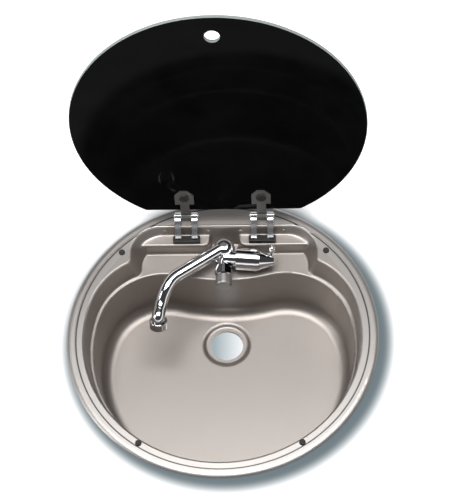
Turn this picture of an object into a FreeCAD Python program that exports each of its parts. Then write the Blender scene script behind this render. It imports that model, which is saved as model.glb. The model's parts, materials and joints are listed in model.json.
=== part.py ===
import FreeCAD, Part
import math
import os

# Round drop-in caravan sink with a hinged glass lid and a low side-lever tap.
# Millimetres. X is to the right, Y to the back, Z up. The origin is the centre
# of the rim, on the worktop plane that the rim rests on.

V = FreeCAD.Vector
UP = V(0, 0, 1)
RIGHT = V(1, 0, 0)
BACK = V(0, 1, 0)

# ---- basin: one pressed stainless sheet -------------------------------------
SHEET = 0.8              # thickness of the pressed sheet
RIM_R = 210.0            # outer radius of the rim
RIM_TOP = 3.0            # top of the rim above the worktop
RIM_ROLL = 7.0           # width of the edge that rolls down to the worktop
RIM_SEAT = 1.4           # width of the flat edge that sits on the worktop
RIM_FLAT = 4.0           # flat of the rim, between the roll and the step
STEP_DEPTH = 2.0         # drop from the rim to the lid band
STEP_CORNER = 12.0       # plan radius where the step meets the rear ridge
BAND_W = 12.5            # lid band, between the step and the first wall
SHOULDER_W = 9.5         # from the top of the first wall in to the bowl mouth
BOWL_CORNER_SHARE = 0.51   # bowl mouth: rear corner arcs, as a share of its main arc
BOWL_REAR_SHARE = 1.36     # bowl mouth: the shallow arc that bows inwards, likewise
BOWL_DRAFT = 5.0         # how much narrower the bowl is at the floor
WALL_DRAFT = 3.5         # how much the first wall leans in on its way down
RECESS_SHARE = 0.643     # half width of the rear recess, as a share of the step radius
RECESS_TURN_SHARE = 0.191  # plan radius of its rear corners, likewise
RECESS_GAP = 2.09        # band left between those corners and the step
RECESS_LEAN = 11.0       # how far each recess end leans in at the ledge
RECESS_BACK_LEAN = 6.0   # how far its rear wall leans forwards at the ledge
RECESS_NECK = 10.0       # plan radius where the recess meets the round wall
RIDGE_GAP = 2.0          # band between the recess rear wall and the straight ridge
TAP_LEDGE = 65.0         # from the recess rear wall to the bowl mouth
LEDGE_Z = -36.0          # shoulder and tap ledge
FLOOR_Z = -120.0         # bowl floor
FLOOR_R = 16.0           # radius between bowl wall and floor
SOFT_R = 3.0             # pressing radius of the other edges
SHELF_Z = -15.0          # top of the two hinge shelves
SHELF_DEPTH = 21.0       # from the front of the shelves to the recess rear wall
SHELF_GAP = 40.0         # free width between the shelves, where the tap stands
SHELF_CORNER = 11.0      # plan radius of the shelf corners beside the tap
DRAIN_INSET = 56.0       # centre of the drain from the rear of the bowl mouth
DRAIN_R = 23.0           # drain hole
DRAIN_SEAT_R = 35.5      # sunk seat around the drain hole
DRAIN_SEAT_SLOPE = 45.0  # steepest slope of the seat wall, degrees
DRAIN_SEAT_DROP = 3.5    # depth of that seat
DRAIN_LIP = 3.0          # turned-down lip of the hole
SEAL_GAP = 0.3           # left around the foam seal under the flat of the rim

# ---- glass lid ----------------------------------------------------------------
GLASS_GAP = 4.0          # between the closed glass and the step
GLASS_T = 5.0
GLASS_REAR_GAP = 5.6     # from its straight rear edge to the recess rear wall
GLASS_CORNER = 8.0
GLASS_ARRIS = 0.7        # ground edge of the glass
FINGER_R = 10.0          # finger hole
FINGER_EDGE = 32.5       # centre of the finger hole from the front edge
BUMPER_R = 4.2
BUMPER_H = 2.5
BUMPER_EDGE = 0.9        # rounding of its top edge
BUMPER_GAP = 0.3         # left between glass and bumpers when closed
BUMPER_FRONT_INSET = 6.4   # centre of the front bumpers from the step
BUMPER_FRONT_TURN = -56.25  # and their angle from +X, degrees
BUMPER_REAR_INSET = 8.5
BUMPER_REAR_TURN = 42.5
OPEN_ANGLE = 99.0        # from closed to the open stop

# ---- lid hinges ---------------------------------------------------------------
HINGE_CORNER_GAP = 37.46  # hinge centre from where the recess wall starts to turn
PIVOT_BACK = 11.0        # pin axis behind the ridge
PIVOT_Z = 9.0
PIN_R = 1.95
PIN_FIT = 0.05           # radial running clearance of the pins
PIN_HEAD_R = 3.3
PIN_HEAD_T = 1.3
EYE_R = 4.6
LEG_OFFSET = 11.5        # leg centre from hinge centre
LEG_W = 8.0              # leg width along X
LEG_T = 3.6              # leg thickness
FOOT_T = 1.5             # foot plate of a bracket
FOOT_INSET = 13.5        # middle of the foot from the recess rear wall
FOOT_D = 9.0
FOOT_L = 36.0
COVER_H = 6.0            # black block over the foot plate
COVER_GAP = 0.3          # clearance of the block around the legs
SCREW_OFFSET = 5.2       # foot screws from the hinge centre
SCREW_R = 1.7
SCREW_HEAD_R = 3.0
SCREW_HEAD_T = 1.6
BACKING_T = 1.5          # plate under the shelf
TONGUE_W = 12.4
TONGUE_T = 2.0
WASHER_T = 0.9
WASHER_R = 3.9
CLAMP_W = 26.0           # clamp plate on the glass
CLAMP_EDGE = 27.5        # bolt from the straight edge of the glass
GASKET_T = 0.8
GASKET_R = 11.5
BOLT_R = 2.9
BOLT_HEAD_R = 7.4
BOLT_HEAD_T = 2.0
BOLT_HOLE_R = 4.0        # hole in the glass
CAP_R = 9.0
CAP_T = 3.2
RIVET_SPREAD = 30.0      # wall rivets each side of a hinge
RIVET_R = 1.6
RIVET_HEAD_R = 3.2
RIVET_HEAD_T = 1.1
RIVET_Z = -9.0
STRIP_T = 1.2            # stiffening strip behind the recess wall
STRIP_H = 7.0

# ---- tap ----------------------------------------------------------------------
TAP_X = -0.5
TAP_INSET = 26.0         # tap centre from the recess rear wall
TAP_BODY_R = 14.5
TAP_TOP_Z = -21.5        # top of the fixed body, under the turning spout head
TAP_FOOT_R = 15.5
TAP_FOOT_T = 3.0
TAP_SEAL_T = 1.0
SHANK_R = 10.0
SHANK_FIT = 0.5
SHANK_L = 26.0           # shank below the ledge
WASHER_OUT_R = 15.5
TAP_WASHER_T = 1.5
BACKNUT_AF = 28.0
BACKNUT_T = 6.0
TAIL_R = 4.0
TAIL_SPREAD = 4.6
TAIL_L = 46.0
BARREL_FRONT = 13.0      # side barrel axis in front of the tap centre
BARREL_Z = -18.0
BARREL_R = 15.5
BARREL_START = 17.5      # left end of the barrel, from the tap centre
BARREL_END = 47.0        # right end of the barrel
BRIDGE_R = 11.0          # joins the barrel to the column under the spout head
BARREL_YAW = -5.0        # the barrel points slightly to the front
CARTRIDGE_R = 12.0
CARTRIDGE_L = 26.0
RING_R = 14.5
RING_T = 3.0
CONE_R = 13.5
CONE_TIP_R = 5.0
CONE_L = 20.0
TURN_GAP = 0.3           # gap between turning and fixed faces
LEVER_PIN_R = 2.4
LEVER_BALL_R = 4.8
LEVER_REACH = 17.0       # ball centre from the barrel axis
LEVER_LEAN = 50.0        # lever leaning back from upright
LEVER_PLACE = 15.5       # along the cone, from its wide end
FRONT_Z = -21.0          # axis of the front valve
NECK_R = 8.0
NUT_AF = 24.0
NUT_TURN = 30.0          # a flat of the nut faces up, degrees
NUT_FRONT = 26.5         # rear face of the nut in front of the tap centre
NUT_L = 15.0
NUT_LIP = 1.6            # end wall of the nut, in front of the neck
STEM_R = 4.0
STEM_DEEP = 18.0         # how deep the stem runs in the neck
KNOB_R = 11.0
KNOB_L = 15.0
KNOB_EDGE = 3.0
SPOUT_R = 9.0
SPOUT_WALL = 1.5
SPOUT_Z = -11.6
SPOUT_HEAD_R = 15.0      # round head that turns on the body
SPOUT_HEAD_ROUND = 12.0  # rounding of its domed top
SPIGOT_R = 7.0
SPIGOT_L = 12.0
ORING_R = 1.1
ARM_X = 62.5             # end of the level arm: left of the tap centre
ARM_Y = 43.0             # and in front of it
BEND_X = 78.5            # a point in the bend, likewise
BEND_Y = 64.0
BEND_FALL = 2.9          # and below the level arm
ELBOW_X = 87.5           # the next point in the bend
ELBOW_Y = 90.0
ELBOW_FALL = 13.4
OUTLET_X = 89.5          # end of the tube
OUTLET_Y = 107.0
OUTLET_FALL = 24.9
OUTLET_DIP = 65.0        # the outlet points down by this angle, degrees
OUTLET_YAW = -4.0        # and turns a little to the left of straight forwards
COLLAR_R = 12.5
COLLAR_L = 12.0
COLLAR_BACK = 7.0        # how far the collar reaches back over the tube
OUTLET_L = 9.0           # straight end of the tube
INSERT_R = 9.6


# ---- places that follow from the sizes above -------------------------------------
RIM_FLAT_R = RIM_R - RIM_ROLL                     # where the rim starts to roll down
STEP_R = RIM_FLAT_R - RIM_FLAT                    # the step that frames the lid
BAND_R = STEP_R - BAND_W                          # top of the first wall
BOWL_R = BAND_R - SHOULDER_W                      # bowl mouth: main arc
BOWL_CORNER_R = BOWL_CORNER_SHARE * BOWL_R
BOWL_REAR_R = BOWL_REAR_SHARE * BOWL_R
RECESS_HALF = RECESS_SHARE * STEP_R
RECESS_CORNER = RECESS_TURN_SHARE * STEP_R
RECESS_BACK = RECESS_CORNER + math.sqrt(          # its corners keep RECESS_GAP to the step
    (STEP_R - RECESS_GAP - RECESS_CORNER) ** 2 - (RECESS_HALF - RECESS_CORNER) ** 2)
RIDGE_Y = RECESS_BACK + RIDGE_GAP
HINGE_X = RECESS_HALF - RECESS_CORNER - HINGE_CORNER_GAP
BOWL_REAR_Y = RECESS_BACK - TAP_LEDGE
DRAIN_Y = BOWL_REAR_Y - DRAIN_INSET
SHELF_Y = RECESS_BACK - SHELF_DEPTH
BAND_Z = RIM_TOP - STEP_DEPTH                     # top of the lid band
GLASS_R = STEP_R - GLASS_GAP
GLASS_CHORD_Y = RECESS_BACK - GLASS_REAR_GAP
GLASS_BOTTOM = BAND_Z + BUMPER_H + BUMPER_GAP     # underside of the closed glass
CLAMP_Y = GLASS_CHORD_Y - CLAMP_EDGE              # clamp bolts, lid closed
PIVOT_Y = RIDGE_Y + PIVOT_BACK
FOOT_Y = RECESS_BACK - FOOT_INSET
TAP_Y = RECESS_BACK - TAP_INSET
BARREL_Y = TAP_Y - BARREL_FRONT
NUT_BACK_Y = TAP_Y - NUT_FRONT
NUT_FRONT_Y = NUT_BACK_Y - NUT_L
NECK_END_Y = NUT_FRONT_Y + NUT_LIP


# ---- general helpers ------------------------------------------------------------
def save(name, shape):
    shape.exportStep("parts/" + name + ".step")
    print(name, "volume", round(shape.Volume), "solids", len(shape.Solids), shape.isValid())


def cylinder(radius, height, base, axis=UP):
    return Part.makeCylinder(radius, height, base, axis)


def box(x0, x1, y0, y1, z0, z1):
    return Part.makeBox(x1 - x0, y1 - y0, z1 - z0, V(x0, y0, z0))


def ring(outer, inner, height, base, axis=UP):
    return cylinder(outer, height, base, axis).cut(cylinder(inner, height, base, axis))


def hexagon(across_flats, height, base, axis=UP, turn=0.0):
    corner = across_flats / math.sqrt(3)
    points = []
    for k in range(7):
        angle = math.radians(turn + 60 * k)
        points.append(V(corner * math.cos(angle), corner * math.sin(angle), 0))
    prism = Part.Face(Part.makePolygon(points)).extrude(UP * height)
    prism.Placement = FreeCAD.Placement(base, FreeCAD.Rotation(UP, axis))
    return prism


def at_height(shape, z, tolerance=0.01):
    """Edges that lie in the level plane z."""
    found = []
    for edge in shape.Edges:
        limits = edge.BoundBox
        if abs(limits.ZMin - z) < tolerance and abs(limits.ZMax - z) < tolerance:
            found.append(edge)
    return found


def arc(first, middle, last):
    return Part.Arc(first, middle, last).toShape()


def arc_about(centre, start, end, z, clockwise=False):
    """Arc from start to end around centre, all given as (x, y)."""
    radius = math.dist(centre, start)
    a0 = math.atan2(start[1] - centre[1], start[0] - centre[0])
    a1 = math.atan2(end[1] - centre[1], end[0] - centre[0])
    if clockwise and a1 > a0:
        a1 -= 2 * math.pi
    if not clockwise and a1 < a0:
        a1 += 2 * math.pi
    am = (a0 + a1) / 2
    middle = V(centre[0] + radius * math.cos(am), centre[1] + radius * math.sin(am), z)
    return arc(V(*start, z), middle, V(*end, z))


def mirrored(point):
    return (-point[0], point[1])


# ---- basin ----------------------------------------------------------------------
def corner_centre():
    """Centre of the right rear corner arc of the bowl mouth: it touches the main
    arc from inside and the inward-bowed rear arc from outside."""
    inner = BOWL_R - BOWL_CORNER_R
    outer = BOWL_REAR_R + BOWL_CORNER_R
    rear = BOWL_REAR_Y + BOWL_REAR_R
    y = (rear ** 2 + inner ** 2 - outer ** 2) / (2 * rear)
    return (math.sqrt(inner ** 2 - y ** 2), y)


def along(centre, toward, distance):
    span = math.dist(centre, toward)
    return (centre[0] + (toward[0] - centre[0]) * distance / span,
            centre[1] + (toward[1] - centre[1]) * distance / span)


def bowl_outline(grow, z):
    """Bowl mouth outline, grown by grow, at height z."""
    corner = corner_centre()
    rear = (0.0, BOWL_REAR_Y + BOWL_REAR_R)
    side = along((0.0, 0.0), corner, BOWL_R + grow)
    back = along(rear, corner, BOWL_REAR_R - grow)
    edges = [
        arc_about((0, 0), mirrored(side), side, z),
        arc_about(corner, side, back, z),
        arc_about(rear, back, mirrored(back), z, clockwise=True),
        arc_about(mirrored(corner), mirrored(back), mirrored(side), z),
    ]
    return Part.Wire(edges)


def recess_outline(grow, half_width, back_y, corner_r, neck_r, z):
    """Round wall joined to the square rear recess."""
    corner = corner_centre()
    corner_arc = BOWL_CORNER_R + grow
    side = along((0.0, 0.0), corner, BOWL_R + grow)
    neck_x = half_width + neck_r
    neck_y = corner[1] + math.sqrt((corner_arc + neck_r) ** 2 - (neck_x - corner[0]) ** 2)
    neck = (neck_x, neck_y)
    into_neck = along(corner, neck, corner_arc)
    out_of_neck = (half_width, neck_y)
    turn = (half_width - corner_r, back_y - corner_r)
    into_turn = (half_width, turn[1])
    out_of_turn = (turn[0], back_y)

    def line(a, b):
        return Part.LineSegment(V(*a, z), V(*b, z)).toShape()

    edges = [
        arc_about((0, 0), mirrored(side), side, z),
        arc_about(corner, side, into_neck, z),
        arc_about(neck, into_neck, out_of_neck, z, clockwise=True),
        line(out_of_neck, into_turn),
        arc_about(turn, into_turn, out_of_turn, z),
        line(out_of_turn, mirrored(out_of_turn)),
        arc_about(mirrored(turn), mirrored(out_of_turn), mirrored(into_turn), z),
        line(mirrored(into_turn), mirrored(out_of_neck)),
        arc_about(mirrored(neck), mirrored(out_of_neck), mirrored(into_neck), z, clockwise=True),
        arc_about(mirrored(corner), mirrored(into_neck), mirrored(side), z),
    ]
    return Part.Wire(edges)


def step_area(grow, z0, z1):
    """The area inside the rim step: a circle cut by the rear ridge."""
    disc = cylinder(STEP_R + grow, z1 - z0, V(0, 0, z0))
    behind = box(-RIM_R, RIM_R, RIDGE_Y + grow, RIM_R, z0, z1)
    area = disc.cut(behind)
    corners = [e for e in area.Edges if e.BoundBox.ZLength > (z1 - z0) / 2
               and abs(e.CenterOfMass.y - RIDGE_Y - grow) < 0.1]
    return area.makeFillet(STEP_CORNER + grow, corners)


def shelf_block(grow):
    """One hinge shelf, right side, as the lump that it takes out of the recess."""
    top = SHELF_Z - grow
    inner = SHELF_GAP / 2 + grow
    lump = box(inner, RIM_R, SHELF_Y + grow, RIM_R, LEDGE_Z - SHELF_CORNER, top)
    corner = [e for e in lump.Edges if e.CenterOfMass.distanceToPoint(
        V(inner, SHELF_Y + grow, (top + LEDGE_Z - SHELF_CORNER) / 2)) < 0.01]
    lump = lump.makeFillet(SHELF_CORNER - grow, corner)
    front = [e for e in at_height(lump, top)
             if e.CenterOfMass.x < RIM_R - 1 and e.CenterOfMass.y < RIM_R - 1]
    return lump.makeFillet(SOFT_R - grow, front)


def edge_normals(shape, edge):
    middle = edge.valueAt((edge.FirstParameter + edge.LastParameter) / 2)
    normals = []
    for face in shape.ancestorsOfType(edge, Part.Face):
        u, v = face.Surface.parameter(middle)
        normals.append(face.normalAt(u, v))
    return middle, normals


def is_sharp(shape, edge):
    _, normals = edge_normals(shape, edge)
    return len(normals) == 2 and normals[0].getAngle(normals[1]) > 0.2


def is_notch(shape, edge):
    """True where the solid turns around the edge, as at an inside corner."""
    middle, normals = edge_normals(shape, edge)
    probe = middle + normals[0] * 0.05 - normals[1] * 0.025
    return shape.isInside(probe, 0.001, False)


def soften_mouth(shape, z, grow):
    """Round the lip that runs around at height z, as the pressing leaves it."""
    lip = [e for e in at_height(shape, z) if is_notch(shape, e)]
    return shape.makeFillet(SOFT_R - grow, lip)


def drain_seat(grow):
    """The shallow dish around the drain, its wall an even S of two arcs."""
    turn = math.radians(DRAIN_SEAT_SLOPE)
    radius = DRAIN_SEAT_DROP / 2 / (1 - math.cos(turn))
    inner_r = DRAIN_SEAT_R - 2 * radius * math.sin(turn)
    low = FLOOR_Z - DRAIN_SEAT_DROP
    first = V(DRAIN_SEAT_R, 0, FLOOR_Z - radius)
    second = V(inner_r, 0, low + radius)

    def on(centre, size, angle):
        return centre + V(-math.sin(angle), 0, math.cos(angle)) * size

    small = radius - grow
    large = radius + grow
    start = on(first, small, 0)
    joint = on(first, small, turn)
    end = second - UP * large
    top = V(0, 0, start.z)
    edges = [
        arc(start, on(first, small, turn / 2), joint),
        arc(joint, on(second, -large, turn / 2), end),
        Part.LineSegment(end, V(0, 0, end.z)).toShape(),
        Part.LineSegment(V(0, 0, end.z), top + UP).toShape(),
        Part.LineSegment(top + UP, start + UP).toShape(),
        Part.LineSegment(start + UP, start).toShape(),
    ]
    dish = Part.Face(Part.Wire(edges)).revolve(V(0, 0, 0), UP, 360)
    dish.translate(BACK * DRAIN_Y)
    return dish


def hollow(grow):
    """Everything inside the basin. grow 0 gives the seen surface of the sheet,
    grow SHEET gives its underside. Edges are rounded about shared centres."""
    band = BAND_Z - grow
    ledge = LEDGE_Z - grow
    floor = FLOOR_Z - grow
    wall = SHOULDER_W + grow
    half = RECESS_HALF + grow
    back = RECESS_BACK + grow
    corner = RECESS_CORNER + grow
    neck = RECESS_NECK - grow
    top = recess_outline(wall, half, back, corner, neck, band)
    low = recess_outline(wall - WALL_DRAFT, half - RECESS_LEAN, back - RECESS_BACK_LEAN,
                         corner, neck, ledge)
    recess = Part.makeLoft([low, top], True, True)
    shelf = shelf_block(grow)
    recess = recess.cut(shelf).cut(shelf.mirror(V(0, 0, 0), RIGHT))
    pressed = [e for e in recess.Edges if e.BoundBox.ZMax < band - 1 and is_sharp(recess, e)]
    recess = recess.makeFillet(SOFT_R + grow, pressed)
    bowl = Part.makeLoft([bowl_outline(grow - BOWL_DRAFT, floor), bowl_outline(grow, ledge)], True, True)
    bowl = bowl.makeFillet(FLOOR_R + grow, at_height(bowl, floor))
    bowl = bowl.fuse(drain_seat(grow))
    inside = soften_mouth(recess.fuse(bowl).removeSplitter(), ledge, grow)
    inside = inside.fuse(step_area(grow, band, RIM_TOP + GLASS_T)).removeSplitter()
    return soften_mouth(inside, band, grow)


def rim_plate():
    """The rolled rim as a full disc of sheet, before its middle is pressed."""
    fall = RIM_R - RIM_FLAT_R
    edge = [
        Part.LineSegment(V(0, 0, RIM_TOP), V(RIM_FLAT_R, 0, RIM_TOP)).toShape(),
        arc(V(RIM_FLAT_R, 0, RIM_TOP), V(RIM_FLAT_R + 0.6 * fall, 0, RIM_TOP - 0.25 * (RIM_TOP - SHEET)),
            V(RIM_R, 0, SHEET)),
        Part.LineSegment(V(RIM_R, 0, SHEET), V(RIM_R, 0, 0)).toShape(),
        Part.LineSegment(V(RIM_R, 0, 0), V(RIM_R - RIM_SEAT, 0, 0)).toShape(),
        arc(V(RIM_R - RIM_SEAT, 0, 0), V(RIM_FLAT_R + 0.48 * fall, 0, 0.62 * (RIM_TOP - SHEET)),
            V(RIM_FLAT_R, 0, RIM_TOP - SHEET)),
        Part.LineSegment(V(RIM_FLAT_R, 0, RIM_TOP - SHEET), V(0, 0, RIM_TOP - SHEET)).toShape(),
        Part.LineSegment(V(0, 0, RIM_TOP - SHEET), V(0, 0, RIM_TOP)).toShape(),
    ]
    return Part.Face(Part.Wire(edge)).revolve(V(0, 0, 0), UP, 360)


def basin():
    below = box(-RIM_R, RIM_R, -RIM_R, RIM_R, 2 * FLOOR_Z, RIM_TOP - SHEET / 2)
    body = rim_plate().fuse(hollow(SHEET).common(below)).cut(hollow(0))
    seat_z = FLOOR_Z - DRAIN_SEAT_DROP
    lip = cylinder(DRAIN_R + SHEET, DRAIN_LIP + SHEET, V(0, DRAIN_Y, seat_z), -UP)
    hole = cylinder(DRAIN_R, 4 * DRAIN_LIP, V(0, DRAIN_Y, seat_z + DRAIN_LIP), -UP)
    body = body.fuse(lip.cut(hole)).cut(hole)
    body = body.cut(cylinder(SHANK_R + SHANK_FIT, 4 * SHEET, V(TAP_X, TAP_Y, LEDGE_Z + SHEET), -UP))
    for x in screw_places():
        body = body.cut(cylinder(SCREW_R + PIN_FIT, 4 * SHEET, V(x, FOOT_Y, SHELF_Z + SHEET), -UP))
    for x in rivet_places():
        body = body.cut(on_wall(cylinder(RIVET_R + PIN_FIT, 6 * SHEET, V(0, 0, -3 * SHEET)), x))
    return body.removeSplitter()


def rim_seal():
    return ring(RIM_FLAT_R - SEAL_GAP, STEP_R + SHEET + SEAL_GAP, RIM_TOP - SHEET, V(0, 0, 0))


# ---- hinge places ---------------------------------------------------------------
def hinges():
    return (("left", -HINGE_X), ("right", HINGE_X))


def screw_places():
    return [x + side * SCREW_OFFSET for _, x in hinges() for side in (-1, 1)]


def rivet_places():
    return [x + side * RIVET_SPREAD for _, x in hinges() for side in (-1, 1)]


def wall_slope():
    return RECESS_BACK_LEAN / (BAND_Z - LEDGE_Z)


def wall_sheet():
    """Thickness of the recess rear wall, square to its leaning face."""
    return SHEET * (1 + wall_slope()) * math.cos(math.atan(wall_slope()))


def on_wall(shape, x):
    """Place a piece built about the origin, its Z out of the recess rear wall."""
    y = RECESS_BACK - wall_slope() * (BAND_Z - RIVET_Z)
    shape.rotate(V(0, 0, 0), RIGHT, 90 - math.degrees(math.atan(wall_slope())))
    shape.translate(V(x, y, RIVET_Z))
    return shape


# ---- hinge pieces ---------------------------------------------------------------
def leg(x):
    """One gooseneck leg: from the foot up through the gap behind the glass, over
    the rear ridge and down to the pin."""
    path = Part.BSplineCurve()
    gap_y = (GLASS_CHORD_Y + RECESS_BACK) / 2
    gap_z = (GLASS_BOTTOM + BAND_Z) / 2
    path.interpolate([
        V(x, FOOT_Y, SHELF_Z + FOOT_T / 2),
        V(x, FOOT_Y + 1.5, SHELF_Z + COVER_H + FOOT_T),
        V(x, gap_y, gap_z),
        V(x, RIDGE_Y + LEG_T, RIM_TOP + LEG_T + EYE_R - 1),
        V(x, PIVOT_Y, PIVOT_Z),
    ], InitialTangent=UP, FinalTangent=V(0, 1, -0.6))
    side = LEG_W / 2
    depth = LEG_T / 2
    z = SHELF_Z + FOOT_T / 2
    corners = [V(x - side, FOOT_Y - depth, z), V(x + side, FOOT_Y - depth, z),
               V(x + side, FOOT_Y + depth, z), V(x - side, FOOT_Y + depth, z)]
    section = Part.makePolygon(corners + corners[:1])
    bar = Part.Wire(path.toShape()).makePipeShell([section], True, False)
    eye = cylinder(EYE_R, LEG_W, V(x - side, PIVOT_Y, PIVOT_Z), RIGHT)
    return bar.fuse(eye)


def bracket(x):
    foot = box(x - FOOT_L / 2, x + FOOT_L / 2, FOOT_Y - FOOT_D / 2, FOOT_Y + FOOT_D / 2,
               SHELF_Z, SHELF_Z + FOOT_T)
    body = foot.fuse(leg(x - LEG_OFFSET)).fuse(leg(x + LEG_OFFSET))
    bore = cylinder(PIN_R + PIN_FIT, 4 * LEG_OFFSET, V(x - 2 * LEG_OFFSET, PIVOT_Y, PIVOT_Z), RIGHT)
    body = body.cut(bore)
    for side in (-1, 1):
        body = body.cut(cylinder(SCREW_R + PIN_FIT, 2 * FOOT_T,
                                 V(x + side * SCREW_OFFSET, FOOT_Y, SHELF_Z - FOOT_T / 2)))
    return body.removeSplitter()


def foot_cover(x):
    z = SHELF_Z + FOOT_T
    front = FOOT_Y - FOOT_D / 2 - 0.5
    rear = FOOT_Y + FOOT_D / 2 + 0.5
    block = box(x - FOOT_L / 2 - 0.8, x + FOOT_L / 2 + 0.8, front, rear, z, z + COVER_H)
    upright = [e for e in block.Edges if e.BoundBox.ZLength > COVER_H / 2]
    block = block.makeFillet(1.5, upright)
    block = block.makeFillet(0.8, at_height(block, z + COVER_H))
    for side in (-1, 1):
        mid = x + side * LEG_OFFSET
        wide = LEG_W / 2 + COVER_GAP
        slot = box(mid - wide, mid + wide, FOOT_Y - LEG_T / 2 - COVER_GAP, rear + 1,
                   z - 1, z + COVER_H + 1)
        hole = cylinder(SCREW_R + PIN_FIT, COVER_H, V(x + side * SCREW_OFFSET, FOOT_Y, z - 1))
        block = block.cut(slot).cut(hole)
    return block


def backing_plate(x):
    z = SHELF_Z - SHEET - BACKING_T
    plate = box(x - FOOT_L / 2, x + FOOT_L / 2, FOOT_Y - FOOT_D / 2 + 1, FOOT_Y + FOOT_D / 2,
                z, z + BACKING_T)
    for side in (-1, 1):
        plate = plate.cut(cylinder(SCREW_R + PIN_FIT, 2 * BACKING_T,
                                   V(x + side * SCREW_OFFSET, FOOT_Y, z - BACKING_T / 2)))
    return plate


def foot_screws():
    z = SHELF_Z - SHEET - BACKING_T
    screws = []
    for x in screw_places():
        shaft = cylinder(SCREW_R, SHEET + BACKING_T + FOOT_T + COVER_H - 2, V(x, FOOT_Y, z))
        head = cylinder(SCREW_HEAD_R, SCREW_HEAD_T, V(x, FOOT_Y, z), -UP)
        head = head.makeFillet(0.6, at_height(head, z - SCREW_HEAD_T))
        slot = box(x - SCREW_HEAD_R, x + SCREW_HEAD_R, FOOT_Y - 0.4, FOOT_Y + 0.4,
                   z - SCREW_HEAD_T, z - SCREW_HEAD_T / 2)
        screws.append(shaft.fuse(head).removeSplitter().cut(slot))
    return Part.makeCompound(screws)


def button(radius, thickness):
    """A low domed head on the plane z = 0."""
    head = cylinder(radius, thickness, V(0, 0, 0))
    return head.makeFillet(0.7 * thickness, at_height(head, thickness))


def wall_rivets():
    grip = wall_sheet() + STRIP_T
    rivets = []
    for x in rivet_places():
        front = button(RIVET_HEAD_R, RIVET_HEAD_T)
        rear = button(RIVET_HEAD_R, RIVET_HEAD_T).mirror(V(0, 0, 0), UP)
        rear.translate(V(0, 0, -grip))
        shank = cylinder(RIVET_R, grip, V(0, 0, -grip))
        rivets.append(on_wall(front.fuse(shank).fuse(rear).removeSplitter(), x))
    return Part.makeCompound(rivets)


def wall_strip(x):
    """Stiffening strip behind the recess wall, riveted at both ends."""
    reach = RIVET_SPREAD + STRIP_H / 2
    back = wall_sheet()
    strip = box(-reach, reach, -STRIP_H / 2, STRIP_H / 2, -back - STRIP_T, -back)
    for side in (-1, 1):
        strip = strip.cut(cylinder(RIVET_R + PIN_FIT, 4 * STRIP_T,
                                   V(side * RIVET_SPREAD, 0, -back - 2 * STRIP_T)))
    return on_wall(strip, x)


def hinge_pin(x):
    reach = LEG_OFFSET + LEG_W / 2 + 0.2
    pin = cylinder(PIN_R, 2 * reach, V(x - reach, PIVOT_Y, PIVOT_Z), RIGHT)
    for side in (-1, 1):
        head = button(PIN_HEAD_R, PIN_HEAD_T)
        head.rotate(V(0, 0, 0), BACK, 90 * side)
        head.translate(V(x + side * reach, PIVOT_Y, PIVOT_Z))
        pin = pin.fuse(head)
    return pin.removeSplitter()


def hinge_washers():
    washers = []
    gap = LEG_OFFSET - LEG_W / 2 - TONGUE_W / 2
    for _, x in hinges():
        for side in (-1, 1):
            middle = x + side * (TONGUE_W / 2 + gap / 2)
            washers.append(ring(WASHER_R, PIN_R + PIN_FIT, WASHER_T,
                                V(middle - WASHER_T / 2, PIVOT_Y, PIVOT_Z), RIGHT))
    return Part.makeCompound(washers)


# ---- lid: built closed, then turned to the open stop ------------------------------
def opened(shape):
    shape.rotate(V(0, PIVOT_Y, PIVOT_Z), RIGHT, -OPEN_ANGLE)
    return shape


def glass():
    disc = cylinder(GLASS_R, GLASS_T, V(0, 0, GLASS_BOTTOM))
    pane = disc.cut(box(-GLASS_R, GLASS_R, GLASS_CHORD_Y, GLASS_R, 0, GLASS_BOTTOM + 2 * GLASS_T))
    ends = [e for e in pane.Edges if e.BoundBox.ZLength > 1 and e.CenterOfMass.y > GLASS_CHORD_Y - 1]
    pane = pane.makeFillet(GLASS_CORNER, ends)
    rims = at_height(pane, GLASS_BOTTOM) + at_height(pane, GLASS_BOTTOM + GLASS_T)
    pane = pane.makeChamfer(GLASS_ARRIS, rims)
    pane = pane.cut(cylinder(FINGER_R, 3 * GLASS_T, V(0, FINGER_EDGE - GLASS_R, 0)))
    for _, x in hinges():
        pane = pane.cut(cylinder(BOLT_HOLE_R, 3 * GLASS_T, V(x, CLAMP_Y, 0)))
    return opened(pane)


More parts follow.
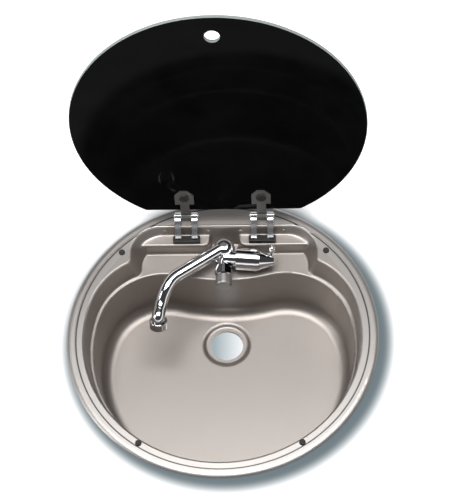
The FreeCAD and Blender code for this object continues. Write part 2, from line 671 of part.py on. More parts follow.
def clamp_plate(x):
    """Eight-sided plate under the glass with a cranked tongue to the pin."""
    top = GLASS_BOTTOM - GASKET_T
    bottom = top - TONGUE_T
    half = CLAMP_W / 2
    cut = half * math.tan(math.radians(22.5))
    rear = FOOT_Y - FOOT_D / 2 - 2
    outline = [V(x - half, rear, bottom), V(x - half, CLAMP_Y - cut, bottom),
               V(x - cut, CLAMP_Y - half, bottom), V(x + cut, CLAMP_Y - half, bottom),
               V(x + half, CLAMP_Y - cut, bottom), V(x + half, rear, bottom)]
    plate = Part.Face(Part.makePolygon(outline + outline[:1])).extrude(UP * TONGUE_T)
    middle = bottom + TONGUE_T / 2
    t = TONGUE_T / 2
    crank = RIDGE_Y - 0.5
    high = RIM_TOP + TONGUE_T + 1.4
    side = [V(0, rear - 1, middle - t), V(0, GLASS_CHORD_Y + 1, middle - t), V(0, crank, high - t),
            V(0, PIVOT_Y, PIVOT_Z - t), V(0, PIVOT_Y, PIVOT_Z + t), V(0, crank - 0.7, high + t),
            V(0, GLASS_CHORD_Y + 0.3, middle + t), V(0, rear - 1, middle + t)]
    tongue = Part.Face(Part.makePolygon(side + side[:1])).extrude(RIGHT * TONGUE_W)
    tongue.translate(V(x - TONGUE_W / 2, 0, 0))
    eye = cylinder(EYE_R, TONGUE_W, V(x - TONGUE_W / 2, PIVOT_Y, PIVOT_Z), RIGHT)
    body = plate.fuse(tongue).fuse(eye)
    body = body.cut(cylinder(PIN_R + PIN_FIT, TONGUE_W + 2,
                             V(x - TONGUE_W / 2 - 1, PIVOT_Y, PIVOT_Z), RIGHT))
    body = body.cut(cylinder(BOLT_R + PIN_FIT, 3 * TONGUE_T, V(x, CLAMP_Y, bottom - TONGUE_T)))
    return opened(body.removeSplitter())


def clamp_bolt(x):
    seat = GLASS_BOTTOM - GASKET_T - TONGUE_T
    grip = TONGUE_T + 2 * GASKET_T + GLASS_T
    shaft = cylinder(BOLT_R, grip + 0.6 * CAP_T, V(x, CLAMP_Y, seat))
    head = button(BOLT_HEAD_R, BOLT_HEAD_T).mirror(V(0, 0, 0), UP)
    head.translate(V(x, CLAMP_Y, seat))
    socket = hexagon(4.0, BOLT_HEAD_T, V(x, CLAMP_Y, seat - 1.6 * BOLT_HEAD_T))
    return opened(shaft.fuse(head).removeSplitter().cut(socket))


def clamp_cap(x):
    z = GLASS_BOTTOM + GLASS_T + GASKET_T
    cap = button(CAP_R, CAP_T)
    cap.translate(V(x, CLAMP_Y, z))
    return opened(cap.cut(cylinder(BOLT_R + PIN_FIT, 0.6 * CAP_T + 0.1, V(x, CLAMP_Y, z))))


def gasket(x, z, radius):
    return opened(ring(radius, BOLT_R + PIN_FIT, GASKET_T, V(x, CLAMP_Y, z)))


def bolt_sleeves():
    sleeves = []
    for _, x in hinges():
        sleeves.append(ring(BOLT_HOLE_R - PIN_FIT, BOLT_R + PIN_FIT, GLASS_T, V(x, CLAMP_Y, GLASS_BOTTOM)))
    return opened(Part.makeCompound(sleeves))


def bumper(side, inset, turn):
    """A rubber pad on the lid band, on the right (side 1) or mirrored (side -1)."""
    place = FreeCAD.Rotation(UP, turn).multVec(RIGHT) * (STEP_R - inset)
    pad = cylinder(BUMPER_R, BUMPER_H, V(side * place.x, place.y, BAND_Z))
    return pad.makeFillet(BUMPER_EDGE, at_height(pad, BAND_Z + BUMPER_H))


# ---- tap --------------------------------------------------------------------------
def from_barrel(shape):
    """Place a piece built about the origin, its X along the side barrel."""
    shape.rotate(V(0, 0, 0), UP, BARREL_YAW)
    shape.translate(V(TAP_X, BARREL_Y, BARREL_Z))
    return shape


def tap_centre(z):
    return V(TAP_X, TAP_Y, z)


def tap_body():
    base_z = LEDGE_Z + TAP_SEAL_T
    foot = cylinder(TAP_FOOT_R, TAP_FOOT_T, tap_centre(base_z))
    foot = foot.makeFillet(1.0, at_height(foot, base_z + TAP_FOOT_T))
    column = cylinder(TAP_BODY_R, TAP_TOP_Z - base_z, tap_centre(base_z))
    shank = cylinder(SHANK_R, SHANK_L + TAP_SEAL_T, tap_centre(base_z), -UP)
    barrel = from_barrel(cylinder(BARREL_R, BARREL_END - BARREL_START, V(BARREL_START, 0, 0), RIGHT))
    bridge = from_barrel(cylinder(BRIDGE_R, BARREL_START + 1, V(0, 0, 0), RIGHT))
    neck = cylinder(NECK_R, TAP_Y - NECK_END_Y, V(TAP_X, TAP_Y, FRONT_Z), -BACK)
    head_room = cylinder(SPOUT_HEAD_R + 1, 2 * BARREL_R, tap_centre(TAP_TOP_Z))
    body = column.fuse(barrel).fuse(bridge).fuse(neck).cut(head_room)
    below_base = box(-BARREL_END, 2 * BARREL_END, BARREL_Y - 2 * BARREL_R, TAP_Y + 2 * BARREL_R,
                     2 * LEDGE_Z, base_z)
    body = body.cut(below_base).fuse(foot).fuse(shank)
    spigot_hole = cylinder(SPIGOT_R + PIN_FIT, SPIGOT_L + 1, tap_centre(TAP_TOP_Z), -UP)
    chamber = from_barrel(cylinder(CARTRIDGE_R + PIN_FIT, CARTRIDGE_L,
                                   V(BARREL_END - CARTRIDGE_L, 0, 0), RIGHT))
    stem_hole = cylinder(STEM_R + PIN_FIT, STEM_DEEP, V(TAP_X, NECK_END_Y, FRONT_Z), BACK)
    body = body.cut(spigot_hole).cut(chamber).cut(stem_hole)
    for side in (-1, 1):
        body = body.cut(cylinder(TAIL_R + PIN_FIT, SHANK_R,
                                 V(TAP_X + side * TAIL_SPREAD, TAP_Y, LEDGE_Z - SHANK_L)))
    return body.removeSplitter()


def tap_tail(side):
    """Hose tail in the shank, with three barbs at its lower end."""
    base = V(TAP_X + side * TAIL_SPREAD, TAP_Y, LEDGE_Z - SHANK_L + SHANK_R)
    tail = cylinder(TAIL_R, TAIL_L + SHANK_R, base, -UP)
    for k in range(3):
        place = base - UP * (TAIL_L + SHANK_R - 1 - 5 * k)
        tail = tail.fuse(Part.makeCone(TAIL_R - 0.2, TAIL_R + 0.5, 4, place))
    bore = cylinder(TAIL_R - 1.2, TAIL_L + SHANK_R + 2, base + UP, -UP)
    return tail.cut(bore).removeSplitter()


def tap_seal():
    return ring(TAP_FOOT_R, SHANK_R + SHANK_FIT, TAP_SEAL_T, tap_centre(LEDGE_Z))


def tap_washer():
    return ring(WASHER_OUT_R, SHANK_R + SHANK_FIT, TAP_WASHER_T, tap_centre(LEDGE_Z - SHEET), -UP)


def tap_backnut():
    base = tap_centre(LEDGE_Z - SHEET - TAP_WASHER_T - BACKNUT_T)
    return hexagon(BACKNUT_AF, BACKNUT_T, base).cut(cylinder(SHANK_R + PIN_FIT, BACKNUT_T, base))


def mixing_cartridge():
    body = cylinder(CARTRIDGE_R, CARTRIDGE_L, V(BARREL_END - CARTRIDGE_L, 0, 0), RIGHT)
    bore = cylinder(STEM_R + PIN_FIT, CARTRIDGE_L / 2, V(BARREL_END - CARTRIDGE_L / 2, 0, 0), RIGHT)
    return from_barrel(body.cut(bore))


def cartridge_ring():
    return from_barrel(ring(RING_R, STEM_R + 1, RING_T, V(BARREL_END, 0, 0), RIGHT))


def cartridge_spindle():
    start = BARREL_END - CARTRIDGE_L / 2 + TURN_GAP
    return from_barrel(cylinder(STEM_R, CARTRIDGE_L / 2 + RING_T + CONE_L / 2, V(start, 0, 0), RIGHT))


def lever_direction():
    lean = math.radians(LEVER_LEAN)
    return V(0, math.sin(lean), math.cos(lean))


def lever_cap():
    start = BARREL_END + RING_T + TURN_GAP
    cone = Part.makeCone(CONE_R, CONE_TIP_R, CONE_L, V(start, 0, 0), RIGHT)
    tip = [e for e in cone.Edges if abs(e.BoundBox.XMin - start - CONE_L) < 0.01]
    cone = cone.makeFillet(1.5, tip)
    bore = cylinder(STEM_R + PIN_FIT, CONE_L / 2 + 0.3, V(start, 0, 0), RIGHT)
    hole = cylinder(LEVER_PIN_R + PIN_FIT, CONE_R, V(start + LEVER_PLACE, 0, 0) + lever_direction() * 2,
                    lever_direction())
    return from_barrel(cone.cut(bore).cut(hole))


def lever_root():
    return V(BARREL_END + RING_T + TURN_GAP + LEVER_PLACE, 0, 0)


def lever_pin():
    return from_barrel(cylinder(LEVER_PIN_R, LEVER_REACH - 3, lever_root() + lever_direction() * 2,
                                lever_direction()))


def lever_ball():
    ball = Part.makeSphere(LEVER_BALL_R, lever_root() + lever_direction() * LEVER_REACH)
    hole = cylinder(LEVER_PIN_R + PIN_FIT, LEVER_REACH - 0.9, lever_root(), lever_direction())
    return from_barrel(ball.cut(hole))


def gland_nut():
    base = V(TAP_X, NUT_FRONT_Y, FRONT_Z)
    nut = hexagon(NUT_AF, NUT_L, base, BACK, NUT_TURN)
    rounder = cylinder(NUT_AF / math.sqrt(3) - 0.8, NUT_L, base, BACK)
    rounder = rounder.makeChamfer(1.6, [e for e in rounder.Edges if e.BoundBox.YLength < 0.01])
    nut = nut.common(rounder)
    lip = NECK_END_Y - NUT_FRONT_Y
    nut = nut.cut(cylinder(NECK_R + PIN_FIT, NUT_L, base + BACK * lip, BACK))
    return nut.cut(cylinder(STEM_R + TURN_GAP, NUT_L, base, BACK))


def flow_stem():
    front = NUT_FRONT_Y - KNOB_L / 2
    rear = NECK_END_Y + STEM_DEEP - TURN_GAP
    return cylinder(STEM_R, rear - front, V(TAP_X, front, FRONT_Z), BACK)


def flow_knob():
    rear = V(TAP_X, NUT_FRONT_Y - TURN_GAP, FRONT_Z)
    knob = cylinder(KNOB_R, KNOB_L, rear, -BACK)
    knob = knob.makeFillet(KNOB_EDGE, [e for e in knob.Edges if e.BoundBox.YMax < rear.y - KNOB_L + 0.01])
    return knob.cut(cylinder(STEM_R + PIN_FIT, KNOB_L / 2, rear, -BACK))


def spout_point(left, front, fall=0.0):
    return tap_centre(SPOUT_Z - fall) + V(-left, -front, 0)


def outlet_end():
    return spout_point(OUTLET_X, OUTLET_Y, OUTLET_FALL)


def outlet_aim():
    dip = math.radians(OUTLET_DIP)
    forwards = FreeCAD.Rotation(UP, OUTLET_YAW).multVec(-BACK)
    return forwards * math.cos(dip) - UP * math.sin(dip)


def tube(radius, lead, past=0.0):
    """The spout's level arm, swept bend and short straight outlet, as a rod of
    this radius. It starts lead from the swivel axis and ends past the outlet."""
    aim = outlet_aim()
    root = tap_centre(SPOUT_Z)
    start = spout_point(ARM_X, ARM_Y)
    arm = start - root
    reach = arm.Length
    arm.normalize()
    outlet = outlet_end() - aim * OUTLET_L
    route = [start, spout_point(BEND_X, BEND_Y, BEND_FALL), spout_point(ELBOW_X, ELBOW_Y, ELBOW_FALL),
             outlet]
    bend = Part.BSplineCurve()
    bend.interpolate(route, InitialTangent=arm, FinalTangent=aim)
    section = Part.Wire(Part.makeCircle(radius, start, arm))
    swept = Part.Wire(bend.toShape()).makePipeShell([section], True, False)
    level = cylinder(radius, reach - lead, root + arm * lead, arm)
    straight = cylinder(radius, OUTLET_L + past, outlet, aim)
    return swept.fuse(level).fuse(straight)


def spout():
    head_z = TAP_TOP_Z + TURN_GAP
    top_z = SPOUT_Z + SPOUT_R
    head = cylinder(SPOUT_HEAD_R, top_z - head_z, tap_centre(head_z))
    head = head.makeFillet(SPOUT_HEAD_ROUND, at_height(head, top_z))
    spigot = cylinder(SPIGOT_R, SPIGOT_L, tap_centre(head_z), -UP)
    body = head.fuse(tube(SPOUT_R, 2)).fuse(spigot)
    groove = ring(SPIGOT_R + 1, SPIGOT_R - 2 * ORING_R, 2 * ORING_R, tap_centre(oring_z() - ORING_R))
    return body.cut(tube(SPOUT_R - SPOUT_WALL, SPOUT_HEAD_R, SPOUT_WALL)).cut(groove)


def oring_z():
    return TAP_TOP_Z - SPIGOT_L / 2


def spout_oring():
    return Part.makeTorus(SPIGOT_R - ORING_R - 0.05, ORING_R - 0.05, tap_centre(oring_z()))


def aerator_collar():
    end = outlet_end()
    aim = outlet_aim()
    start = end - aim * COLLAR_BACK
    collar = cylinder(COLLAR_R, COLLAR_L, start, aim)
    collar = collar.makeFillet(1.4, [e for e in collar.Edges if e.Curve.TypeId == "Part::GeomCircle"])
    collar = collar.cut(cylinder(SPOUT_R + PIN_FIT, COLLAR_L, start, aim))
    return collar.cut(cylinder(INSERT_R + PIN_FIT, COLLAR_L, end, aim))


def aerator_insert():
    end = outlet_end()
    aim = outlet_aim()
    disc = cylinder(INSERT_R, COLLAR_L - COLLAR_BACK - 1, end + aim * 0.3, aim)
    across = aim.cross(RIGHT)
    across.normalize()
    for k in range(6):
        offset = FreeCAD.Rotation(aim, 60 * k).multVec(across) * (0.6 * INSERT_R)
        disc = disc.cut(cylinder(1.5, COLLAR_L, end + offset - aim, aim))
    return disc.cut(cylinder(1.5, COLLAR_L, end - aim, aim))


# ---- write every piece ---------------------------------------------------------------
os.makedirs("parts", exist_ok=True)
save("basin", basin())
save("rim_seal", rim_seal())
save("wall_rivets", wall_rivets())
save("hinge_foot_screws", foot_screws())
save("hinge_washers", hinge_washers())
for side_name, hinge_x in hinges():
    save("hinge_bracket_" + side_name, bracket(hinge_x))
    save("hinge_cover_" + side_name, foot_cover(hinge_x))
    save("hinge_backing_plate_" + side_name, backing_plate(hinge_x))
    save("wall_strip_" + side_name, wall_strip(hinge_x))
    save("hinge_pin_" + side_name, hinge_pin(hinge_x))
    save("clamp_plate_" + side_name, clamp_plate(hinge_x))
    save("clamp_bolt_" + side_name, clamp_bolt(hinge_x))
    save("clamp_cap_" + side_name, clamp_cap(hinge_x))
    save("inner_gasket_" + side_name, gasket(hinge_x, GLASS_BOTTOM - GASKET_T, GASKET_R))
    save("outer_gasket_" + side_name, gasket(hinge_x, GLASS_BOTTOM + GLASS_T, CAP_R))
save("bolt_sleeves", bolt_sleeves())
save("glass_lid", glass())
for side_name, sign in (("left", -1), ("right", 1)):
    save("bumper_front_" + side_name, bumper(sign, BUMPER_FRONT_INSET, BUMPER_FRONT_TURN))
    save("bumper_rear_" + side_name, bumper(sign, BUMPER_REAR_INSET, BUMPER_REAR_TURN))
save("tap_body", tap_body())
save("tap_seal", tap_seal())
save("tap_washer", tap_washer())
save("tap_backnut", tap_backnut())
save("tap_tail_cold", tap_tail(1))
save("tap_tail_hot", tap_tail(-1))
save("mixing_cartridge", mixing_cartridge())
save("cartridge_ring", cartridge_ring())
save("cartridge_spindle", cartridge_spindle())
save("lever_cap", lever_cap())
save("lever_pin", lever_pin())
save("lever_ball", lever_ball())
save("gland_nut", gland_nut())
save("flow_stem", flow_stem())
save("flow_knob", flow_knob())
save("spout", spout())
save("spout_oring", spout_oring())
save("aerator_collar", aerator_collar())
save("aerator_insert", aerator_insert())
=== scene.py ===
import json
import math
import bpy
from mathutils import Matrix, Vector

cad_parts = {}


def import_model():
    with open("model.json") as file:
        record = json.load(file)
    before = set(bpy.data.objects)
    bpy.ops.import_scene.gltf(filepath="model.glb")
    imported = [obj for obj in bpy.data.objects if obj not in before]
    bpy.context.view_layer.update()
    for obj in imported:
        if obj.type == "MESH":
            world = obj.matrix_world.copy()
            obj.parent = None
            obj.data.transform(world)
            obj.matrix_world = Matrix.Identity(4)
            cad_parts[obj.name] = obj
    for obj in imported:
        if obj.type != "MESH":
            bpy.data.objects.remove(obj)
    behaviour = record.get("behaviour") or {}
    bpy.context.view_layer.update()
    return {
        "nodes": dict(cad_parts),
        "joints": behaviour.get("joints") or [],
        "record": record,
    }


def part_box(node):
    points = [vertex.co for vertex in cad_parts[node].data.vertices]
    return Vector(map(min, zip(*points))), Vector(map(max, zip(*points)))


# Looks of the round drop-in sink: materials, floor, light and camera.
# Metres, in the frame of the CAD model.

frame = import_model()
nodes = frame["nodes"]
scene = bpy.context.scene

# sizes from the frame; the box of the basin is read to a tenth of a millimetre
rim_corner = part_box("basin")[1]
RIM_R = round(rim_corner.x, 4)
RIM_TOP = round(rim_corner.z, 4)
CUTOUT_R = RIM_R - 0.0096        # hole in the floor, a little wider than the bowl under the rim
BAND_R = RIM_R - 0.0235          # inner edge of the flat band inside the rim
BAND_Z = RIM_TOP - 0.002         # and its top
GROOVE_SHADE_R = RIM_R - 0.0127        # middle of the painted shade line in the groove at the foot of the rim's step
lid_hinge = next(joint for joint in frame["joints"] if joint["name"] == "lid_hinge")
OPEN_ANGLE = math.radians(lid_hinge["range_deg"][1])  # how far the lid stands open at rest

# marks on the surfaces, and the painted shade in the rim's groove
GROOVE_SHADE_HALF = 0.0010             # half the width of the painted shade line
GROOVE_SHADE_FADE = (0.0001, 0.0004)   # depths below the band where the painted shade starts and ends to fade
POLISH_WIDTH = 0.002             # from the bowl's satin to the rim's polish
POLISH_SMOOTHS = 0.05            # roughness that the polish takes away
BUMP_DEPTH = 0.0002              # height of the grain that the shading shows
EDGE_LIMIT = 0.9                 # cosine to the lid's face normal, below which the glass is edge
EDGE_ROUGHENS = 0.22             # roughness that the ground edge adds

# colours, linear
STEEL = (0.44, 0.402, 0.376, 1)
RIM_STEEL = (0.49, 0.465, 0.445, 1)
CHROME = (0.80, 0.80, 0.81, 1)
GROOVE_SHADE_TONE = 0.22               # share of the steel's colour that the painted shade in the groove keeps
GLASS_DARK = (0.0022, 0.0022, 0.0024, 1)
GLASS_SMEAR = (0.0040, 0.0040, 0.0042, 1)
GLASS_EDGE = (0.30, 0.33, 0.32, 1)
WHITE = (1, 1, 1, 1)

# floor: a white worktop, and a glowing sheet under it with painted shade that the open drain
# shows
FLOOR_LOW = (0.86, 0.875, 0.885, 1)
FLOOR_HIGH = (0.89, 0.90, 0.91, 1)
FLOOR_GLOW = 0.8                 # what the floor adds to its lit colour where it is seen
FLOOR_RINGS = (CUTOUT_R, 0.3, 6.0)
RING_STEPS = 128
SHADOW = (0.10, 0.125, 0.135, 1)
SHADOW_CENTRE = (0.007, -0.007, 0)
SHADOW_START = RIM_R - 0.004     # full shadow up to this radius from its centre
SHADOW_END = RIM_R + 0.030       # and none from this one on
# painted shade: the darker colour of the sheet's left side
SHEET_SHADED_LEFT = (0.38, 0.45, 0.48, 1)
SHEET_RIGHT = (0.90, 0.93, 0.95, 1)
SHEET_BLEND = (-0.025, 0.015)    # x where the painted shade of the left colour ends and the right one starts
SHEET_Z = -0.25
SHEET_HALF = 0.25

# light
SWEEP_TOP = (0.16, 0.42)         # sine of the heights where the sweep starts and ends to darken
SWEEP_STRENGTH = 1.3
STUDIO_DARK = (0.042, 0.042, 0.045, 1)
PANEL_X = 0.43                   # two panels overhead, this far left and right
PANEL_Y = 0.03
PANEL_Z = 1.9

# colour sockets of Blender's Mix node, which shares their names with its other sockets
MIX_A, MIX_B, MIX_RESULT = 6, 7, 2


# ---- node helpers ----------------------------------------------------------------
class Nodes:
    """The node tree of a material or a world, with short calls for the nodes used here."""

    def __init__(self, owner, output="ShaderNodeOutputMaterial"):
        self.owner = owner
        owner.use_nodes = True
        self.tree = owner.node_tree
        self.tree.nodes.clear()
        self.output = self.add(output)

    def add(self, kind, inputs=None, **settings):
        """A new node with its settings made and its inputs linked or set."""
        node = self.tree.nodes.new(kind)
        for key, value in settings.items():
            setattr(node, key, value)
        for key, value in (inputs or {}).items():
            self.feed(node.inputs[key], value)
        return node

    def feed(self, socket, value):
        """Link another node's output to a socket, or set the socket to a plain value."""
        if isinstance(value, bpy.types.NodeSocket):
            self.tree.links.new(value, socket)
        else:
            socket.default_value = value

    def surface(self, shader):
        """What the material or the world shows."""
        self.feed(self.output.inputs["Surface"], shader)

    def place(self, stretch=(1, 1, 1)):
        """Position on the piece, stretched along each axis."""
        coords = self.add("ShaderNodeTexCoord")
        mapping = self.add("ShaderNodeMapping",
                           {"Vector": coords.outputs["Object"], "Scale": stretch})
        return mapping.outputs["Vector"]

    def part_of(self, vector, axis):
        """One coordinate of a vector."""
        return self.add("ShaderNodeSeparateXYZ", {"Vector": vector}).outputs[axis]

    def noise(self, vector, scale, detail=3.0, roughness=0.5):
        node = self.add("ShaderNodeTexNoise", {"Vector": vector, "Scale": scale,
                                               "Detail": detail, "Roughness": roughness})
        return node.outputs["Fac"]

    def ramp(self, factor, low, high, start=0.3, end=0.7):
        """The low colour up to start, the high one from end on, even between them."""
        node = self.add("ShaderNodeValToRGB", {"Fac": factor})
        for stop, position, colour in zip(node.color_ramp.elements, (start, end), (low, high)):
            stop.position = position
            stop.color = colour
        return node.outputs["Color"]

    def spread(self, factor, low, high):
        """Low at 0 and high at 1."""
        node = self.add("ShaderNodeMapRange", {"Value": factor, "To Min": low, "To Max": high})
        return node.outputs["Result"]

    def between(self, value, start, end, curve="SMOOTHSTEP"):
        """0 up to start, 1 from end on, and the curve between them."""
        node = self.add("ShaderNodeMapRange",
                        {"Value": value, "From Min": start, "From Max": end},
                        interpolation_type=curve)
        return node.outputs["Result"]

    def calc(self, operation, *values):
        """A number worked out from numbers."""
        node = self.add("ShaderNodeMath", dict(enumerate(values)), operation=operation)
        return node.outputs["Value"]

    def measure(self, operation, *vectors):
        """A number worked out from vectors, such as a length."""
        node = self.add("ShaderNodeVectorMath", dict(enumerate(vectors)), operation=operation)
        return node.outputs["Value"]

    def mix(self, factor, first, second, blend="MIX"):
        node = self.add("ShaderNodeMix", {"Factor": factor, MIX_A: first, MIX_B: second},
                        data_type="RGBA", blend_type=blend)
        return node.outputs[MIX_RESULT]

    def bump(self, height, strength):
        node = self.add("ShaderNodeBump",
                        {"Height": height, "Strength": strength, "Distance": BUMP_DEPTH})
        return node.outputs["Normal"]

    def principled(self, **values):
        """The surface shader; an underscore in a name stands for a space."""
        inputs = {key.replace("_", " "): value for key, value in values.items()}
        self.surface(self.add("ShaderNodeBsdfPrincipled", inputs).outputs["BSDF"])


def material_nodes(name):
    return Nodes(bpy.data.materials.new(name))


def shade(colour, amount):
    return tuple(c * amount for c in colour[:3]) + (1,)


# ---- materials --------------------------------------------------------------------
def satin_steel():
    """Pressed stainless sheet with a fine even grain and faint cloudy patches. The rim
    is polished brighter, and shade is painted dark into the groove at the foot of its step."""
    n = material_nodes("satin_steel")
    grain = n.noise(n.place(), scale=1400, detail=2.0, roughness=0.6)
    clouds = n.noise(n.place(), scale=14)
    tone = n.ramp(grain, shade(STEEL, 0.90), shade(STEEL, 1.06))
    colour = n.mix(n.spread(clouds, 0.0, 0.35), tone, shade(STEEL, 0.90))

    radius = n.measure("LENGTH", n.place(stretch=(1, 1, 0)))
    polish = n.between(radius, BAND_R, BAND_R + POLISH_WIDTH)
    colour = n.mix(polish, colour, RIM_STEEL)

    # painted shade: a dark line along the groove at the foot of the rim's step, fading out below
    # the band
    from_groove_shade = n.calc("ABSOLUTE", n.calc("SUBTRACT", radius, GROOVE_SHADE_R))
    out_of_groove_shade = n.between(from_groove_shade, GROOVE_SHADE_HALF * 0.5, GROOVE_SHADE_HALF * 1.5)
    depth = n.calc("SUBTRACT", BAND_Z, n.part_of(n.place(), "Z"))
    out_of_groove_shade = n.calc("MAXIMUM", out_of_groove_shade, n.between(depth, *GROOVE_SHADE_FADE))
    colour = n.mix(out_of_groove_shade, shade(STEEL, GROOVE_SHADE_TONE), colour)

    rough = n.calc("ADD", n.spread(clouds, 0.44, 0.50), n.spread(grain, -0.03, 0.03))
    rough = n.calc("SUBTRACT", rough, n.calc("MULTIPLY", polish, POLISH_SMOOTHS))
    n.principled(Base_Color=colour, Metallic=1.0, Roughness=rough,
                 Normal=n.bump(grain, strength=0.16))
    return n.owner


def polished_metal(name, base, roughness):
    """Plated or polished metal: a clear reflection with a slight haze and wipe marks."""
    n = material_nodes(name)
    marks = n.noise(n.place(stretch=(1, 1, 0.3)), scale=60, detail=4.0)
    grain = n.noise(n.place(), scale=900, detail=2.0)
    colour = n.ramp(marks, shade(base, 0.95), shade(base, 1.03))
    n.principled(Base_Color=colour, Metallic=1.0, Roughness=n.spread(marks, *roughness),
                 Normal=n.bump(grain, strength=0.02))
    return n.owner


def turned_metal(name, base, roughness):
    """Satin metal with the fine rings that a lathe or a brush leaves."""
    n = material_nodes(name)
    rings = n.noise(n.place(stretch=(260, 2600, 260)), scale=1, detail=2.0)
    patches = n.noise(n.place(), scale=40)
    colour = n.ramp(patches, shade(base, 0.90), shade(base, 1.06))
    rough = n.calc("ADD", n.spread(rings, -0.05, 0.05), n.spread(patches, *roughness))
    n.principled(Base_Color=colour, Metallic=1.0, Roughness=rough,
                 Normal=n.bump(rings, strength=0.12))
    return n.owner


def moulded(name, base, roughness, dust=0.25):
    """Rubber or plastic with a fine moulded grain and a little dust."""
    n = material_nodes(name)
    grain = n.noise(n.place(), scale=700, roughness=0.6)
    patches = n.noise(n.place(), scale=60, detail=4.0)
    colour = n.ramp(patches, shade(base, 1 - dust), shade(base, 1 + dust))
    n.principled(Base_Color=colour, Roughness=n.spread(grain, *roughness),
                 Normal=n.bump(grain, strength=0.15))
    return n.owner


def black_glass():
    """Nearly opaque black glass; its ground edges look pale grey-green."""
    n = material_nodes("black_glass")
    coords = n.add("ShaderNodeTexCoord")
    face_normal = (0, -math.sin(OPEN_ANGLE), -math.cos(OPEN_ANGLE))
    facing = n.calc("ABSOLUTE", n.measure("DOT_PRODUCT", coords.outputs["Normal"], face_normal))
    edge = n.calc("LESS_THAN", facing, EDGE_LIMIT)
    smears = n.noise(n.place(), scale=22, detail=4.0)
    colour = n.mix(edge, n.ramp(smears, GLASS_DARK, GLASS_SMEAR), GLASS_EDGE)
    rough = n.calc("ADD", n.spread(smears, 0.02, 0.06), n.calc("MULTIPLY", edge, EDGE_ROUGHENS))
    n.principled(Base_Color=colour, Roughness=rough, Specular_IOR_Level=0.02)
    return n.owner


SLOT_MATERIALS = {
    "satin_steel": satin_steel(),
    "chrome": polished_metal("chrome", CHROME, (0.04, 0.09)),
    "black_glass": black_glass(),
    "black_rubber": moulded("black_rubber", (0.018, 0.018, 0.018, 1), (0.55, 0.75)),
    "black_plastic": moulded("black_plastic", (0.016, 0.016, 0.017, 1), (0.28, 0.42)),
    "zinc_plate": turned_metal("zinc_plate", (0.22, 0.22, 0.22, 1), (0.40, 0.52)),
    "zinc_steel": turned_metal("zinc_steel", (0.50, 0.51, 0.53, 1), (0.28, 0.40)),
    "nylon": moulded("nylon", (0.72, 0.71, 0.66, 1), (0.40, 0.55), dust=0.08),
    "brass": turned_metal("brass", (0.70, 0.52, 0.25, 1), (0.22, 0.34)),
    "satin_nickel": turned_metal("satin_nickel", (0.42, 0.405, 0.39, 1), (0.42, 0.52)),
}
bracket_chrome = polished_metal("bracket_chrome", CHROME, (0.22, 0.32))
for subpart in frame["record"]["subparts"]:
    mesh = nodes[subpart["node"]].data
    mesh.materials.clear()
    mesh.materials.append(SLOT_MATERIALS[subpart["material_slot"]])
for side in ("left", "right"):
    nodes["hinge_bracket_" + side].data.materials[0] = bracket_chrome


# ---- floor, light and camera --------------------------------------------------------
def stage_piece(name, points, faces, material):
    """A mesh of the stage, which isn't a piece of the sink."""
    mesh = bpy.data.meshes.new(name)
    mesh.from_pydata(points, [], faces)
    mesh.materials.append(material)
    piece = bpy.data.objects.new(name, mesh)
    scene.collection.objects.link(piece)


def floor_material():
    """Plain pale paint that shows white and keeps soft shadows. A dark disc that fades
    out past the rim, a little to the front right, adds the rim's soft shadow."""
    n = material_nodes("floor")
    paint = n.ramp(n.noise(n.place(), scale=500, detail=2.0), FLOOR_LOW, FLOOR_HIGH)
    from_centre = n.measure("DISTANCE", n.place(), SHADOW_CENTRE)
    lit = n.between(from_centre, SHADOW_START, SHADOW_END, curve="SMOOTHERSTEP")
    shadow = n.ramp(lit, SHADOW, WHITE, start=0.0, end=1.0)
    paper = n.add("ShaderNodeBsdfDiffuse", {"Color": n.mix(1.0, paint, shadow, blend="MULTIPLY")})
    rays = n.add("ShaderNodeLightPath").outputs
    seen = n.calc("MAXIMUM", rays["Is Camera Ray"], rays["Is Transmission Ray"])
    seen = n.calc("MAXIMUM", seen, rays["Is Glossy Ray"])
    glow = n.add("ShaderNodeEmission",
                 {"Color": shadow, "Strength": n.calc("MULTIPLY", seen, FLOOR_GLOW)})
    both = n.add("ShaderNodeAddShader", {0: paper.outputs["BSDF"], 1: glow.outputs["Emission"]})
    n.surface(both.outputs["Shader"])
    return n.owner


def floor():
    """A worktop with the round cut-out that the sink hangs in."""
    points = []
    for radius in FLOOR_RINGS:
        for k in range(RING_STEPS):
            angle = 2 * math.pi * k / RING_STEPS
            points.append((radius * math.cos(angle), radius * math.sin(angle), 0))
    faces = []
    for ring in range(len(FLOOR_RINGS) - 1):
        inner = ring * RING_STEPS
        outer = inner + RING_STEPS
        for k in range(RING_STEPS):
            after = (k + 1) % RING_STEPS
            faces.append((inner + k, inner + after, outer + after, outer + k))
    stage_piece("floor", points, faces, floor_material())


def under_floor():
    """A pale blue-grey sheet seen through the open drain. It shines by itself, and painted shade
    darkens its left side.
    """
    n = material_nodes("under_floor")
    # painted shade: the sheet darkens towards its left side
    side = n.between(n.part_of(n.place(), "X"), *SHEET_BLEND, curve="LINEAR")
    colour = n.ramp(side, SHEET_SHADED_LEFT, SHEET_RIGHT, start=0.0, end=1.0)
    n.surface(n.add("ShaderNodeEmission", {"Color": colour}).outputs["Emission"])
    corners = [(x * SHEET_HALF, y * SHEET_HALF, SHEET_Z)
               for x, y in ((-1, -1), (1, -1), (1, 1), (-1, 1))]
    stage_piece("under_floor", corners, [(0, 1, 2, 3)], n.owner)


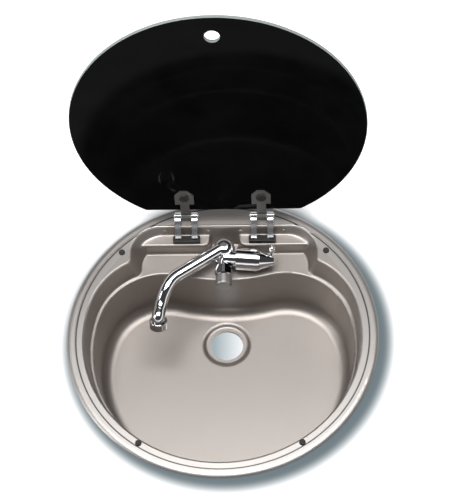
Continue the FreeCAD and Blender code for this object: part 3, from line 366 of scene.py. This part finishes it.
def world():
    """Dark studio with a white sweep low all round; the camera sees plain white."""
    scene.world = bpy.data.worlds.new("studio")
    n = Nodes(scene.world, output="ShaderNodeOutputWorld")
    coords = n.add("ShaderNodeTexCoord")
    height = n.part_of(coords.outputs["Generated"], "Z")
    sweep = n.ramp(height, WHITE, STUDIO_DARK, *SWEEP_TOP)
    studio = n.add("ShaderNodeBackground", {"Color": sweep, "Strength": SWEEP_STRENGTH})
    plain = n.add("ShaderNodeBackground", {"Color": WHITE})
    rays = n.add("ShaderNodeLightPath")
    pick = n.add("ShaderNodeMixShader", {"Fac": rays.outputs["Is Camera Ray"],
                                         1: studio.outputs["Background"],
                                         2: plain.outputs["Background"]})
    n.surface(pick.outputs["Shader"])


def softbox(name, place, aim, size, power):
    """A rectangular lamp that faces the point it is aimed at; power in watts."""
    light = bpy.data.lights.new(name, "AREA")
    light.shape = "RECTANGLE"
    light.size, light.size_y = size
    light.energy = power
    lamp = bpy.data.objects.new(name, light)
    scene.collection.objects.link(lamp)
    lamp.location = place
    lamp.rotation_euler = (Vector(aim) - Vector(place)).to_track_quat("-Z", "Y").to_euler()


def camera():
    """The photograph's viewpoint: from the front, high up, slightly rolled. It looks at
    the origin, which lies at origin_x and origin_y in the photograph."""
    azimuth = math.radians(6.039)
    elevation = math.radians(61.864)
    roll = math.radians(-5.788)
    distance = 2.4935
    image_width, image_height = 453, 500
    origin_x, origin_y = 222.253, 334.641
    focal_px = 1856.4
    back = Vector((math.sin(azimuth) * math.cos(elevation),
                   -math.cos(azimuth) * math.cos(elevation), math.sin(elevation)))
    right = (-back).cross(Vector((0, 0, 1))).normalized()
    up = right.cross(-back)
    x_axis = math.cos(roll) * right + math.sin(roll) * up
    y_axis = math.cos(roll) * up - math.sin(roll) * right

    data = bpy.data.cameras.new("camera")
    long_side = max(image_width, image_height)
    data.sensor_fit = "AUTO"
    data.sensor_width = 36.0
    data.lens = focal_px / long_side * data.sensor_width
    data.shift_x = (image_width / 2 - origin_x) / long_side
    data.shift_y = (origin_y - image_height / 2) / long_side
    data.clip_end = 50
    holder = bpy.data.objects.new("camera", data)
    scene.collection.objects.link(holder)
    matrix = Matrix((x_axis, y_axis, back)).transposed().to_4x4()
    matrix.translation = back * distance
    holder.matrix_world = matrix
    scene.camera = holder


floor()
under_floor()
world()
for name, x in (("overhead_left", -PANEL_X), ("overhead_right", PANEL_X)):
    softbox(name, place=(x, PANEL_Y, PANEL_Z), aim=(x, PANEL_Y, 0), size=(0.80, 1.0), power=18)
softbox("left", place=(-1.7, -0.3, 0.9), aim=(0, 0, 0), size=(0.5, 1.2), power=9)
camera()
scene.view_settings.view_transform = "Standard"
